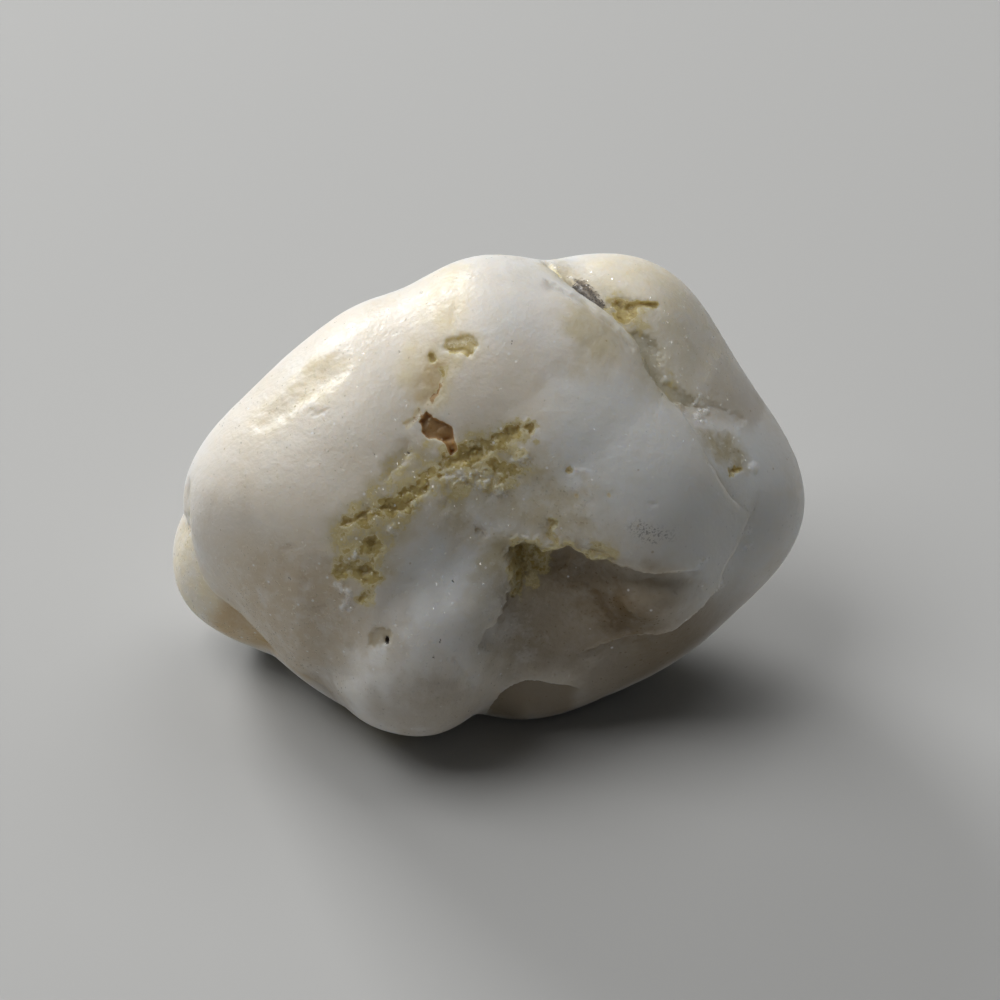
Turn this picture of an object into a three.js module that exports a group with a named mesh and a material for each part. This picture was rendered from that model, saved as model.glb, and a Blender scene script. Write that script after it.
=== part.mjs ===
// A water-worn pebble of milky quartz, modelled as one solid.
//
// The pebble is a cluster of rounded lobes that grew and wore together. It is drawn on a
// face plan and then laid back to sit on the small flat that it rests on.
// On the face plan +X runs right, +Y runs up the face and +Z stands out of it.
// In the finished part +Z is up, +X is the long axis, the face looks up and towards -Y,
// and the origin is under the middle of the pebble, on the surface it rests on.
// All lengths are millimetres and all angles are degrees.

import * as THREE from "three";
import { mergeVertices } from "three/addons/utils/BufferGeometryUtils.js";

const lean = 40; // the face looks this far above the horizon
const restDepth = 17.5; // the resting plane lies this far below the face plan's origin
const blend = 1; // how widely neighbouring lobes melt into each other
const facetRings = 20; // subdivisions of each edge of the starting icosahedron
const proportions = new THREE.Vector3(26, 20, 17); // rough half sizes, which even out the facets

// Each lobe is a rounded lump on the face plan: its centre, its half sizes, how far it is
// turned anticlockwise, and how square its outline is, where 2 is an ellipse. In depth
// every lobe is round.
const lobes = {
  body: { at: [1, -1, -3.5], size: [17, 12.5, 12], turn: -8, square: 2 },
  leftBlock: { at: [-9.6, 0.1, -1.2], size: [14.1, 13.1, 12.8], turn: 43, square: 3.1 },
  bottomNose: { at: [-5.3, -10.6, 0.6], size: [9.2, 7, 8.7], turn: 73, square: 2.4 },
  crown: { at: [2.1, 8.7, 0.2], size: [10.2, 10.4, 11], turn: -20, square: 2.6 },
  crownShoulder: { at: [-3, 8.5, -1.4], size: [9, 9, 10.4], turn: 25, square: 2.6 },
  frontBridge: { at: [7, 4.6, -0.6], size: [9.4, 12, 11.6], turn: 40, square: 2.4 },
  rightCheek: { at: [10.4, 0.8, 0.4], size: [9.6, 9, 10.6], turn: -40, square: 2.5 },
  lowerCheek: { at: [12.4, -6.6, -1], size: [7.4, 5.2, 8.6], turn: 30, square: 2.2 },
  lowerShelf: { at: [7.5, -7.5, -4.6], size: [13.2, 9, 8.2], turn: 31, square: 2.6 },
  rearBlock: { at: [10.9, 0.9, -4.4], size: [13.6, 13.9, 10.6], turn: 36, square: 3 },
  rearCap: { at: [9.8, 9.9, -3.8], size: [8.9, 10.1, 9.2], turn: 0, square: 2.2 },
  underLobeLeft: { at: [-20.5, -5.4, -7], size: [6, 5.8, 6], turn: 0, square: 2.2 },
  underLobeLow: { at: [-18, -8.9, -8.5], size: [4.8, 4.2, 6], turn: -20, square: 2.2 },
  underLobeFoot: { at: [-11.2, -11.5, -4.2], size: [6.4, 5.4, 4.8], turn: -35, square: 2.2 },
  seat: { at: [0.5, -4.6, -8], size: [12, 9.6, 9.6], turn: 5, square: 2.2 },
};

// How the skin is found along a line from the origin: marched inwards, then halved closer.
const reach = 40; // further from the origin than any point of the pebble
const marchStep = 0.5;
const halvings = 16;
const tiny = 1e-9; // keeps a division away from zero

const lobeFrames = Object.values(lobes).map(({ at, size, turn, square }) => ({
  centre: new THREE.Vector3(...at),
  size: new THREE.Vector3(...size),
  cos: Math.cos(THREE.MathUtils.degToRad(turn)),
  sin: Math.sin(THREE.MathUtils.degToRad(turn)),
  square,
}));

// Close to the distance from a point to one lobe's surface, negative inside it.
function lobeDistance(point, { centre, size, cos, sin, square }) {
  const x = point.x - centre.x;
  const y = point.y - centre.y;
  const z = point.z - centre.z;
  const across = Math.abs((x * cos + y * sin) / size.x);
  const along = Math.abs((y * cos - x * sin) / size.y);
  const out = Math.abs(z / size.z);
  const girth = Math.max((across ** square + along ** square) ** (1 / square), tiny);
  const radius = Math.hypot(girth, out);
  const steepness = Math.hypot(
    ((across / girth) ** (square - 1) * girth) / size.x,
    ((along / girth) ** (square - 1) * girth) / size.y,
    out / size.z,
  );
  return (radius * (radius - 1)) / steepness;
}

// The lobes melted together: negative inside the pebble.
function pebbleDistance(point) {
  let sum = 0;
  for (const frame of lobeFrames) sum += Math.exp(-lobeDistance(point, frame) / blend);
  return -blend * Math.log(sum);
}

// How far out the pebble's skin lies in one direction from the origin.
function skinRadius(direction) {
  const point = new THREE.Vector3();
  const distanceAt = (radius) => pebbleDistance(point.copy(direction).multiplyScalar(radius));
  let outside = reach;
  let inside = outside;
  while (distanceAt(inside) > 0) {
    outside = inside;
    inside -= marchStep;
  }
  for (let count = 0; count < halvings; count++) {
    const middle = (inside + outside) / 2;
    if (distanceAt(middle) > 0) outside = middle;
    else inside = middle;
  }
  return (inside + outside) / 2;
}

// A ball of even facets, pushed out to the pebble's skin on the face plan.
function facePlanSkin() {
  const ball = new THREE.IcosahedronGeometry(1, facetRings);
  ball.deleteAttribute("normal");
  ball.deleteAttribute("uv");
  const skin = mergeVertices(ball);
  const places = skin.getAttribute("position");
  const place = new THREE.Vector3();
  for (let i = 0; i < places.count; i++) {
    place.fromBufferAttribute(places, i).multiply(proportions).normalize();
    place.multiplyScalar(skinRadius(place));
    places.setXYZ(i, place.x, place.y, place.z);
  }
  return skin;
}

// Everything below the resting plane is pressed up to it, which leaves one small flat.
function pressFlat(skin) {
  const places = skin.getAttribute("position");
  for (let i = 0; i < places.count; i++) places.setZ(i, Math.max(places.getZ(i), 0));
}

function pebbleGeometry() {
  const skin = facePlanSkin();
  skin.rotateX(THREE.MathUtils.degToRad(90 - lean));
  skin.translate(0, 0, restDepth);
  pressFlat(skin);
  skin.computeBoundingBox();
  const middle = skin.boundingBox.getCenter(new THREE.Vector3());
  skin.translate(-middle.x, -middle.y, 0);
  skin.computeVertexNormals();
  return skin;
}

const milkyQuartz = new THREE.MeshStandardMaterial({
  color: 0xe6e1d8,
  roughness: 0.5,
  metalness: 0,
});

const pebble = new THREE.Mesh(pebbleGeometry(), milkyQuartz);
pebble.name = "quartz_pebble";

const part = new THREE.Group();
part.add(pebble);
export default part;
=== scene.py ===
import math

import bmesh
import bpy
import numpy as np
from mathutils import Matrix, Vector


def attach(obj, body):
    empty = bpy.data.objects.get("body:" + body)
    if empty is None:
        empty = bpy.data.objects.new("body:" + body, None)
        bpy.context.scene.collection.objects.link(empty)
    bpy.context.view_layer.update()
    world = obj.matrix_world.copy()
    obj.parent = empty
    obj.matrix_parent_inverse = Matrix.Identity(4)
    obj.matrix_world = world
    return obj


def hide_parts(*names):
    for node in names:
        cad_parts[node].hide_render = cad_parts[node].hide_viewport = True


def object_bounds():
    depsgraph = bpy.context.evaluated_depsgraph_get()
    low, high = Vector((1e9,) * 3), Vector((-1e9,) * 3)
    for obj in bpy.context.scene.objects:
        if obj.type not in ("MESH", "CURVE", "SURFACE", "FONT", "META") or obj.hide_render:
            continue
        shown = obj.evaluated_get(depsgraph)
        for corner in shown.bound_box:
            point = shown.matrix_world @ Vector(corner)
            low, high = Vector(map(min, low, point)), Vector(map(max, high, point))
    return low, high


# A water-worn pebble of milky quartz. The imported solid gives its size, tilt and lobes;
# this script adds the seams, pits, stains, crystal grains and the surface of the stone.
# The pebble is worked in millimetres from the middle of its box, and made in metres.

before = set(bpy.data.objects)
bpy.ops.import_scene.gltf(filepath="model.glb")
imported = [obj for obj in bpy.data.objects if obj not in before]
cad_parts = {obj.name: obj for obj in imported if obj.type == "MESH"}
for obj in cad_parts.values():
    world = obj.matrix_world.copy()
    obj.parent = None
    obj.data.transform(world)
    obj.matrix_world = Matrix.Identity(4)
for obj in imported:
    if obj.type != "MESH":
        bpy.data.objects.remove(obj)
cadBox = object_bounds()
middle = (cadBox[0] + cadBox[1]) / 2
mm = 0.001

viewpoint = {
    "azimuth": 0, "elevation": 40,  # degrees round the pebble and above the floor
    "distance": 321, "lens": 140.8, "sensor": 36,  # millimetres
    "aim": (1.1, -1.4),  # where the lens points, right and up from the middle of the box
}


# The directions right, up and out of a face of the pebble, as it is seen from one side.
def faceAxes(azimuth, elevation):
    turn, rise = math.radians(azimuth), math.radians(elevation)
    level = math.cos(rise)
    out = Vector((math.sin(turn) * level, -math.cos(turn) * level, math.sin(rise)))
    right = Vector((math.cos(turn), math.sin(turn), 0))
    return right, out.cross(right), out


def addCamera():
    right, up, out = faceAxes(viewpoint["azimuth"], viewpoint["elevation"])
    aim = middle + mm * (right * viewpoint["aim"][0] + up * viewpoint["aim"][1])
    data = bpy.data.cameras.new("camera")
    data.lens = viewpoint["lens"]
    data.sensor_width = viewpoint["sensor"]
    data.clip_start = 0.01  # metres
    camera = bpy.data.objects.new("camera", data)
    place = Matrix.Translation(aim + out * viewpoint["distance"] * mm)
    camera.matrix_world = place @ Matrix((right, up, out)).transposed().to_4x4()
    bpy.context.collection.objects.link(camera)
    bpy.context.scene.camera = camera


addCamera()
print("camera placed")


# The noise is the same each run. Each use has its own seed, and takes the few numbers after
# it as well.
seeds = {"wander": (11, 21, 91), "seam": 31, "facets": 41, "hollow": 45, "sugar": 51,
         "wave": 61, "pebbling": 71}
hashFactors = (374761393, 668265263, 2246822519, 3266489917)  # large primes, to mix the bits


# A random number from 0 to 1 for each cell of space.
def cellHash(cells, seed):
    first, second, third, fourth = (np.uint32(factor) for factor in hashFactors)
    cells = cells.astype(np.int64).astype(np.uint32)
    total = cells[..., 0] * first + cells[..., 1] * second + cells[..., 2] * third
    total = total + np.uint32(seed * hashFactors[3] % 2**32)
    total = (total ^ (total >> np.uint32(15))) * third
    total = (total ^ (total >> np.uint32(13))) * fourth
    return ((total ^ (total >> np.uint32(16))) & np.uint32(0xFFFFFF)) / float(0xFFFFFF)


# Smooth noise from -1 to 1, with lumps about as wide as size.
def lumps(points, size, seed):
    scaled = points / size
    base = np.floor(scaled)
    part = scaled - base
    part = part * part * (3 - 2 * part)
    total = np.zeros(len(points))
    for corner in range(8):
        step = np.array([corner & 1, corner >> 1 & 1, corner >> 2])
        weight = np.prod(np.where(step, part, 1 - part), axis=1)
        total += weight * cellHash(base + step, seed)
    return total * 2 - 1


# Lumps with finer lumps on them, each layer half the size and height of the one before.
def layeredLumps(points, size, seed, layers):
    total = sum(lumps(points, size / 2**k, seed + k) / 2**k for k in range(layers))
    return total / 1.4  # about -1 to 1 again


# The nearest of one random point per cell: how far off it is, the way to it, and its own hash.
def grains(points, size, seed):
    scaled = points / size
    base = np.floor(scaled)
    nearest = np.full(len(points), 9.0)
    offset = np.zeros_like(points)
    own = np.zeros(len(points))
    for step in np.ndindex(3, 3, 3):
        cell = base + np.array(step) - 1
        seedPoint = cell + np.stack([cellHash(cell, seed + k) for k in range(3)], axis=1)
        away = scaled - seedPoint
        distance = np.linalg.norm(away, axis=1)
        closer = distance < nearest
        nearest[closer] = distance[closer]
        offset[closer] = away[closer]
        own[closer] = cellHash(cell[closer], seed + 3)
    return nearest, offset, own


# Small flat faces tilted every way, like the ends of packed crystals: each grain has its own
# height and tilt, and falls away from its middle.
def facets(points, size, seed):
    near, offset, own = grains(points, size, seed)
    tilt = np.stack([np.cos(own * 40), np.sin(own * 57), np.cos(own * 91)], axis=1)
    return own * 0.6 + (offset * tilt).sum(axis=1) * 0.8 - near * 0.4


# From 0 to 1, smoothly, as the value goes from low to high.
def ease(low, high, value):
    part = np.clip((value - low) / (high - low), 0, 1)
    return part * part * (3 - 2 * part)


# The pebble's skin is a fine, smoothed copy of the solid. The lengths are millimetres.
skinDetail = {
    "weld": 0.01,  # points closer than this become one
    "levels": 3,  # how many times every face is divided up
    "smoothing": 0.5, "rounds": 6,
    "triangles": 196000,  # what is left once the mesh is thinned out
}


def meshArray(mesh, layer, name, width, kind=np.float32):
    values = np.empty(len(layer) * width, kind)
    layer.foreach_get(name, values)
    return values.reshape(-1, width)


def fineCopy(node):
    edit = bmesh.new()
    edit.from_mesh(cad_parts[node].data)
    bmesh.ops.remove_doubles(edit, verts=edit.verts, dist=skinDetail["weld"] * mm)
    mesh = bpy.data.meshes.new("pebble_skin")
    edit.to_mesh(mesh)
    edit.free()
    pebble = bpy.data.objects.new("pebble", mesh)
    bpy.context.collection.objects.link(pebble)
    smoother = pebble.modifiers.new("finer", "SUBSURF")
    smoother.levels = smoother.render_levels = skinDetail["levels"]
    applyModifiers(pebble)
    return pebble


def applyModifiers(piece):
    shaped = piece.evaluated_get(bpy.context.evaluated_depsgraph_get())
    old = piece.data
    piece.data = bpy.data.meshes.new_from_object(shaped)
    piece.modifiers.clear()
    bpy.data.meshes.remove(old)


# Each point moves towards the average of its neighbours.
def relax(places, edges, strength, rounds):
    count = len(places)
    ends = np.concatenate([edges[:, 0], edges[:, 1]])
    others = np.concatenate([edges[:, 1], edges[:, 0]])
    neighbours = np.bincount(ends, minlength=count)[:, None]
    for _ in range(rounds):
        total = np.stack([np.bincount(ends, places[others, k], count) for k in range(3)], axis=1)
        places = places + strength * (total / neighbours - places)
    return places


pebble = fineCopy("quartz_pebble")
skinEdges = meshArray(pebble.data, pebble.data.edges, "vertices", 2, np.int32)
skinPlaces = meshArray(pebble.data, pebble.data.vertices, "co", 3).astype(float)
skinPlaces = relax(skinPlaces, skinEdges, skinDetail["smoothing"], skinDetail["rounds"])
pebble.data.vertices.foreach_set("co", skinPlaces.astype(np.float32).ravel())
pebble.data.update()
skinNormals = meshArray(pebble.data, pebble.data.vertices, "normal", 3).astype(float)
skinPlaces = (skinPlaces - np.array(middle)) / mm
lift = np.zeros(len(skinPlaces))  # how far each point moves out along its normal

# How strongly each tint or texture shows at each point. The material reads them.
marks = {name: np.zeros(len(skinPlaces)) for name in
         ("warm", "cool", "cream", "clear", "mottle", "honey", "smoky", "ochre", "rust",
          "brown", "olive", "sugar", "speck", "chalk")}

# How far each point strays sideways where an edge is ragged: the share and the size of each
# layer of lumps.
wanderLayers = zip((0.5, 0.3, 0.25), (1.3, 0.6, 0.28), seeds["wander"])
wander = sum(share * np.stack([lumps(skinPlaces, size, seed + k) for k in range(3)], axis=1)
             for share, size, seed in wanderLayers)
print("fine skin:", len(skinPlaces), "points")


# The faces of the pebble, as turn and height in degrees of the eye that looks at them. The
# front keeps whatever it can see, and the others have the rest.
front = (0, 40)
back = (180, 20)
top = (160, 70)
leftEnd = (-90, 15)
rightEnd = (90, 15)
underside = (0, -70)


# How the tools end. The first two are how squarely a point has to look at a face, as the
# cosine of the angle, and the rest are in millimetres.
toolEdges = {
    "facing": (0.02, 0.3), "front": (-0.2, 0.15),
    "lip": 0.15,  # how sharply a lowered side begins
    "seamLumps": 0.9, "hollowLumps": 1.6, "facets": 0.9,  # the sizes of the unevenness
}


# What a face sees of the skin: each point's place across and up the face, in millimetres,
# for the points that look towards it. Ragged edges come from shifting those places a little.
def seenFrom(face, ragged=0.0):
    right, up, out = (np.array(axis) for axis in faceAxes(*face))
    shifted = skinPlaces + wander * ragged
    flat = np.stack([shifted @ right, shifted @ up], axis=1)
    facing = ease(*toolEdges["facing"], skinNormals @ out)
    if face != front:
        claimed = ease(*toolEdges["front"], skinNormals @ np.array(faceAxes(*front)[2]))
        facing = facing * (1 - claimed)
    return flat, facing


# Distance from each point to a path, how far along it the nearest place is, and the side:
# positive to the right of someone who walks along it.
def nearPath(flat, path):
    path = np.array(path, float)
    starts, steps = path[:-1], np.diff(path, axis=0)
    lengths = np.linalg.norm(steps, axis=1)
    before = np.concatenate([[0], np.cumsum(lengths)])
    nearest = np.full(len(flat), 1e9)
    along = np.zeros(len(flat))
    side = np.zeros(len(flat))
    for start, step, length, walked in zip(starts, steps, lengths, before):
        away = flat - start
        part = np.clip(away @ step / length**2, 0, 1)
        gap = away - part[:, None] * step
        distance = np.hypot(gap[:, 0], gap[:, 1])
        closer = distance < nearest
        nearest[closer] = distance[closer]
        along[closer] = (walked + part[closer] * length) / before[-1]
        side[closer] = np.sign(away[closer, 1] * -step[0] + away[closer, 0] * step[1])
    return nearest, along, side


# A path rounded through its points, with so many steps from each one to the next.
def rounded(path, steps=5):
    points = [np.array(p, float) for p in path]
    points = [2 * points[0] - points[1], *points, 2 * points[-1] - points[-2]]
    made = []
    for a, b, c, d in zip(points, points[1:], points[2:], points[3:]):
        for k in range(steps):
            t = k / steps
            made.append(0.5 * (2 * b + (c - a) * t + (2 * a - 5 * b + 4 * c - d) * t**2
                               + (3 * b - a - 3 * c + d) * t**3))
    return made + [points[-2]]


# Which points a loop goes round: a line to the right of them crosses it an odd number of times.
def insideLoop(flat, loop):
    inside = np.zeros(len(flat), bool)
    for (x0, y0), (x1, y1) in zip(loop, loop[1:]):
        spans = (y0 > flat[:, 1]) != (y1 > flat[:, 1])
        crossing = x0 + (flat[:, 1] - y0) * (x1 - x0) / (y1 - y0 if y1 != y0 else 1e-9)
        inside ^= spans & (flat[:, 0] < crossing)
    return inside


# Where two marks of one name overlap, the stronger one stays.
def mark(chosen, amount, colours):
    for name, strength in colours.items():
        marks[name][chosen] = np.maximum(marks[name][chosen], amount * strength)


# The points that a face sees within a margin of some places, so that the rest can be left out.
def nearby(flat, facing, points, margin):
    low, high = np.min(points, axis=0) - margin, np.max(points, axis=0) + margin
    return np.flatnonzero((flat > low).all(axis=1) & (flat < high).all(axis=1) & (facing > 0))


# A groove along a path. width and depth are its half width and its depth at the start and the
# end. drop sets the right-hand side lower, fading out over reach. Its colours fade out over
# spread, beyond its edges. taper is the share of the path over which each end fades.
def seam(face, path, width, depth, drop=(0, 0), reach=2.5, ragged=0.25, spread=1.2, taper=0.12,
         **colours):
    path = rounded(path)
    flat, facing = seenFrom(face, ragged)
    chosen = nearby(flat, facing, path, reach + 1.5)
    flat, facing = flat[chosen], facing[chosen]
    distance, along, side = nearPath(flat, path)
    halfWidth = width[0] + (width[1] - width[0]) * along
    deep = depth[0] + (depth[1] - depth[0]) * along
    unevenness = np.minimum(0.45, 0.2 / halfWidth)  # less for a broad groove
    uneven = 1 + unevenness * lumps(skinPlaces[chosen], toolEdges["seamLumps"], seeds["seam"])
    profile = np.clip(1 - (distance / halfWidth) ** 2, 0, 1) ** 1.5
    ends = ease(0, taper, along) * ease(0, taper, 1 - along)
    lift[chosen] -= profile * deep * uneven * facing * (0.2 + 0.8 * ends)
    if any(drop):
        fall = drop[0] + (drop[1] - drop[0]) * along
        fade = ease(0, toolEdges["lip"], distance) * (1 - ease(0, reach, distance)) * (side > 0)
        lift[chosen] -= fade * fall * facing * ends
    colour = 1 - ease(halfWidth * 0.6, halfWidth + spread, distance)
    mark(chosen, colour * facing * ends, colours)


# An area inside a loop, set lower by depth, with a rim as wide as rim. rough is the height of
# the crystal faces in it. Its colours reach out past the loop by spread.
def hollow(face, loop, depth, rim=0.35, ragged=0.4, rough=0.0, spread=0.5, **colours):
    loop = rounded([*loop, loop[0]], 3)
    flat, facing = seenFrom(face, ragged)
    chosen = nearby(flat, facing, loop, spread + rim + 1)
    flat, facing = flat[chosen], facing[chosen]
    distance, _, _ = nearPath(flat, loop)
    inward = np.where(insideLoop(flat, loop), distance, -distance)
    swell = lumps(skinPlaces[chosen], toolEdges["hollowLumps"], seeds["hollow"])
    uneven = 1 + rough * 2.5 * swell
    lift[chosen] -= ease(-rim * 0.3, rim, inward) * depth * uneven * facing
    if rough:
        within = ease(-rim, rim, inward) * facing
        crystals = facets(skinPlaces[chosen], toolEdges["facets"], seeds["facets"])
        lift[chosen] += within * crystals * rough
    mark(chosen, ease(-spread, rim, inward) * facing, colours)


# A pit or a worn scoop, or a swell where depth is negative. edge 1 has a sharp rim, higher
# values a softer one. Its colours reach out to spread times its size.
def pit(face, at, size, depth, turn=0, edge=1.5, ragged=0.15, spread=1.3, **colours):
    flat, facing = seenFrom(face, ragged)
    chosen = nearby(flat, facing, [at], max(size) * spread + 0.5)
    away, facing = flat[chosen] - np.array(at), facing[chosen]
    cos, sin = math.cos(math.radians(turn)), math.sin(math.radians(turn))
    across = (away[:, 0] * cos + away[:, 1] * sin) / size[0]
    along = (away[:, 1] * cos - away[:, 0] * sin) / size[1]
    distance = np.hypot(across, along)
    lift[chosen] -= np.clip(1 - distance**2, 0, 1) ** edge * depth * facing
    mark(chosen, (1 - ease(0.55, spread, distance)) * facing, colours)


# Colour only, fading out from the middle of a place.
def stain(face, at, size, turn=0, ragged=0.8, **colours):
    pit(face, at, size, 0, turn, ragged=ragged, **colours)


# Colour only, crisp along a path and fading out over reach on its right-hand side. fade is the
# share of the path over which each end fades.
def shade(face, path, reach, ragged=0.2, fade=0.15, **colours):
    path = rounded(path)
    flat, facing = seenFrom(face, ragged)
    chosen = nearby(flat, facing, path, reach)
    distance, along, side = nearPath(flat[chosen], path)
    outwards = ease(0, toolEdges["lip"], distance) * (1 - ease(reach * 0.4, reach, distance))
    ends = ease(0, fade, along) * ease(0, fade, 1 - along)
    mark(chosen, (side > 0) * outwards * ends * facing[chosen], colours)


# The broad hollows and swells between the lobes of the face, and the tints of the quartz.
def shapeFace():
    pit(front, (7.5, -9.8), (8, 4.2), 1, turn=-22, edge=2, ragged=0)
    seam(front, [(-0.5, -13), (0.4, -9), (0.6, -5)], (4, 4), (-0.5, -0.5), ragged=0, taper=0.3)
    pit(front, (14.5, -5), (6, 5), -0.4, edge=2, ragged=0)
    seam(front, [(-11.6, -5.5), (-12, -9.4), (-12.2, -13), (-12.3, -17)], (3.4, 3), (0.3, 0.6),
         ragged=0)
    seam(front, [(2, 1), (5.5, 4), (8.6, 6.6), (12, 10)], (3.6, 3.6), (-0.35, -0.35), ragged=0)
    pit(front, (-6, -13), (3.4, 5.5), -0.3, turn=-15, edge=2, ragged=0)
    pit(front, (13.2, -9.8), (4.2, 1.9), -0.7, turn=8, edge=2, ragged=0)
    for at, size, turn in (((-13, 3), (11, 9), 30), ((-8, 13), (9, 6), 20),
                           ((-16, -8), (8, 7), 0), ((14, 13), (8, 8), -40),
                           ((6, -14), (12, 5), 20), ((0, 6), (6, 6), 0)):
        stain(front, at, size, turn, ragged=1.5, warm=1)
    for at, size, turn in (((11, 3), (7, 6), -45), ((20, -3), (5, 8), -20),
                           ((-4, -8), (3.4, 4), -15)):
        stain(front, at, size, turn, ragged=1.5, cool=1)
    stain(front, (-15, -10.5), (7, 5), -42, ragged=1.5, mottle=1, smoky=0.5, honey=0.25)
    stain(front, (-19, -6.5), (6, 4), -50, ragged=1.5, smoky=0.3)
    stain(front, (-15.5, 2.5), (8, 4.5), 35, ragged=1.5, mottle=0.15)
    stain(front, (2, -1.5), (8, 4.5), -10, mottle=0.9, clear=0.2)
    stain(front, (1, -3.6), (2.6, 1), -10, ragged=1.2, chalk=0.4)
    # The hollow under the brow is tinted smoky as painted shade.
    stain(front, (7.6, -11), (9, 5), 5, ragged=1.2, smoky=1, mottle=0.3)
    stain(front, (8.2, 11.9), (2.8, 1.8), -40, ragged=1.2, cream=0.6, olive=0.5)
    stain(front, (8, 9.6), (2.5, 2), 0, clear=0.5)


# The rear cap stands behind the crown, and the crack between them gapes at the top, where its
# shadow is painted brown and near black.
def carveCrack():
    crack = [(21.5, -3), (19.5, -0.8), (17.6, 2.4), (16.3, 5.1), (14.4, 7.1), (12.9, 9.3),
             (12.3, 11.3), (9.9, 13.9), (7.4, 15.7), (5.6, 17.4), (4.4, 18.6)]
    seam(front, crack, (0.3, 0.4), (0.1, 0.6), (0.4, 1), reach=4, ragged=0.12, spread=0.3,
         clear=0.3)
    seam(front, crack[5:], (0.3, 0.35), (0.6, 1), ragged=0.12, spread=0.15, ochre=0.6)
    hollow(front, [(6.5, 17.2), (7.4, 16.9), (8.6, 15.8), (9.2, 14.8), (8.2, 14.9), (7, 15.9)], 1.4,
           rim=0.45, ragged=0.15, spread=0, brown=0.9)
    seam(front, [(4.4, 18.6), (6.2, 17.3), (8, 16.4), (9.4, 15.4), (10.6, 14)], (0.7, 0.5),
         (0.1, 0.1), ragged=0.35, spread=0.8, cream=0.8, clear=0.7, mottle=0.6)
    hollow(front, [(7.2, 17.3), (8.2, 16.9), (9.6, 15.6), (10.1, 14.6), (9.2, 14.7),
                   (8, 16)], 0, rim=0.15, ragged=0.4, spread=0.1, brown=1, speck=0.62)
    hollow(front, [(7, 17), (8, 16.6), (9.2, 15.3), (9.4, 14.8), (8.8, 14.9), (7.8, 15.8)], 0,
           rim=0.15, ragged=0.4, spread=0.1, speck=0.9)
    stain(front, (10.8, 14.4), (2, 1.2), -50, ragged=1.2, olive=0.9, ochre=0.26)
    seam(front, [(12.2, 10.4), (10, 12.9), (7, 15.2), (4.5, 16.6)][::-1], (0.3, 0.3), (0, 0),
         (0.3, 0.3), reach=1.2, ragged=0.2, spread=0.3, cool=0.8)


# The rear cap is creamy, with an ochre chip and an olive strip along the crack.
def carveRearCap():
    stain(front, (13, 15.5), (6.5, 4), -40, cream=0.7, chalk=0.25)
    stain(front, (11.5, 14), (3, 1.6), -40, ochre=0.3)
    stain(front, (16.5, 11), (4, 5), 20, cream=0.5, chalk=0.3, mottle=0.7)
    hollow(front, [(9.8, 14.9), (10.6, 15.5), (12.2, 14.9), (13.8, 14.6), (12.6, 13.8),
                   (11, 13.8)], 0.1, rim=0.4, rough=0.08, olive=0.7, ochre=0.24)
    seam(front, [(10.4, 15.2), (11.4, 14.6), (12.6, 14.7), (14, 14.3)], (0.25, 0.15), (0.18, 0.12),
         ragged=0.5, spread=0.3, ochre=1, brown=0.8)
    pit(front, (11.4, 14.1), (0.9, 0.9), 0.12, ragged=0.8, ochre=1, brown=0.8)
    hollow(front, [(11.7, 12.4), (13.2, 12.4), (14.6, 10.6), (14.8, 8.4), (17.2, 7), (15.4, 6.4),
                   (13.2, 8.8), (12.9, 10.6)], 0.25, rim=0.4, ragged=0.5, rough=0.03, spread=0.6,
           olive=1, clear=1)
    stain(front, (14.2, 10), (3, 4), 20, ragged=1.2, olive=0.5)
    stain(front, (14.6, 8), (1.2, 1.4), 30, ragged=1.2, olive=0.8, ochre=0.22)
    hollow(front, [(17.4, 4.4), (20.2, 4.2), (21.2, 2), (20.6, 0.4), (18.6, 1.8)], 0.15,
           rim=1.2, ragged=0.8, rough=0.03, clear=1, cool=0.6, olive=0.6, mottle=0.8)
    pit(front, (20.2, 0.9), (0.5, 0.4), 0.3, ragged=0.5, ochre=0.6)
    pit(front, (21.7, 1.3), (0.5, 0.5), -0.15, edge=1, chalk=1)
    seam(front, [(17.8, 8.8), (20.8, 7.2), (23, 5.4)], (1.2, 1.2), (0, 0.1), ragged=0.8,
         spread=1.6, smoky=0.4)
    seam(front, [(16, 6.8), (18.6, 6.4), (21.5, 5.2)], (0.4, 0.3), (0.1, 0.05), (0.25, 0.1),
         ragged=0.5, clear=0.3)
    for at in ((17.4, 6.9), (17.6, 5.4), (17.9, 6.1)):
        pit(front, at, (0.5, 0.4), -0.1, ragged=0.5, sugar=0.9, chalk=0.5)


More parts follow.
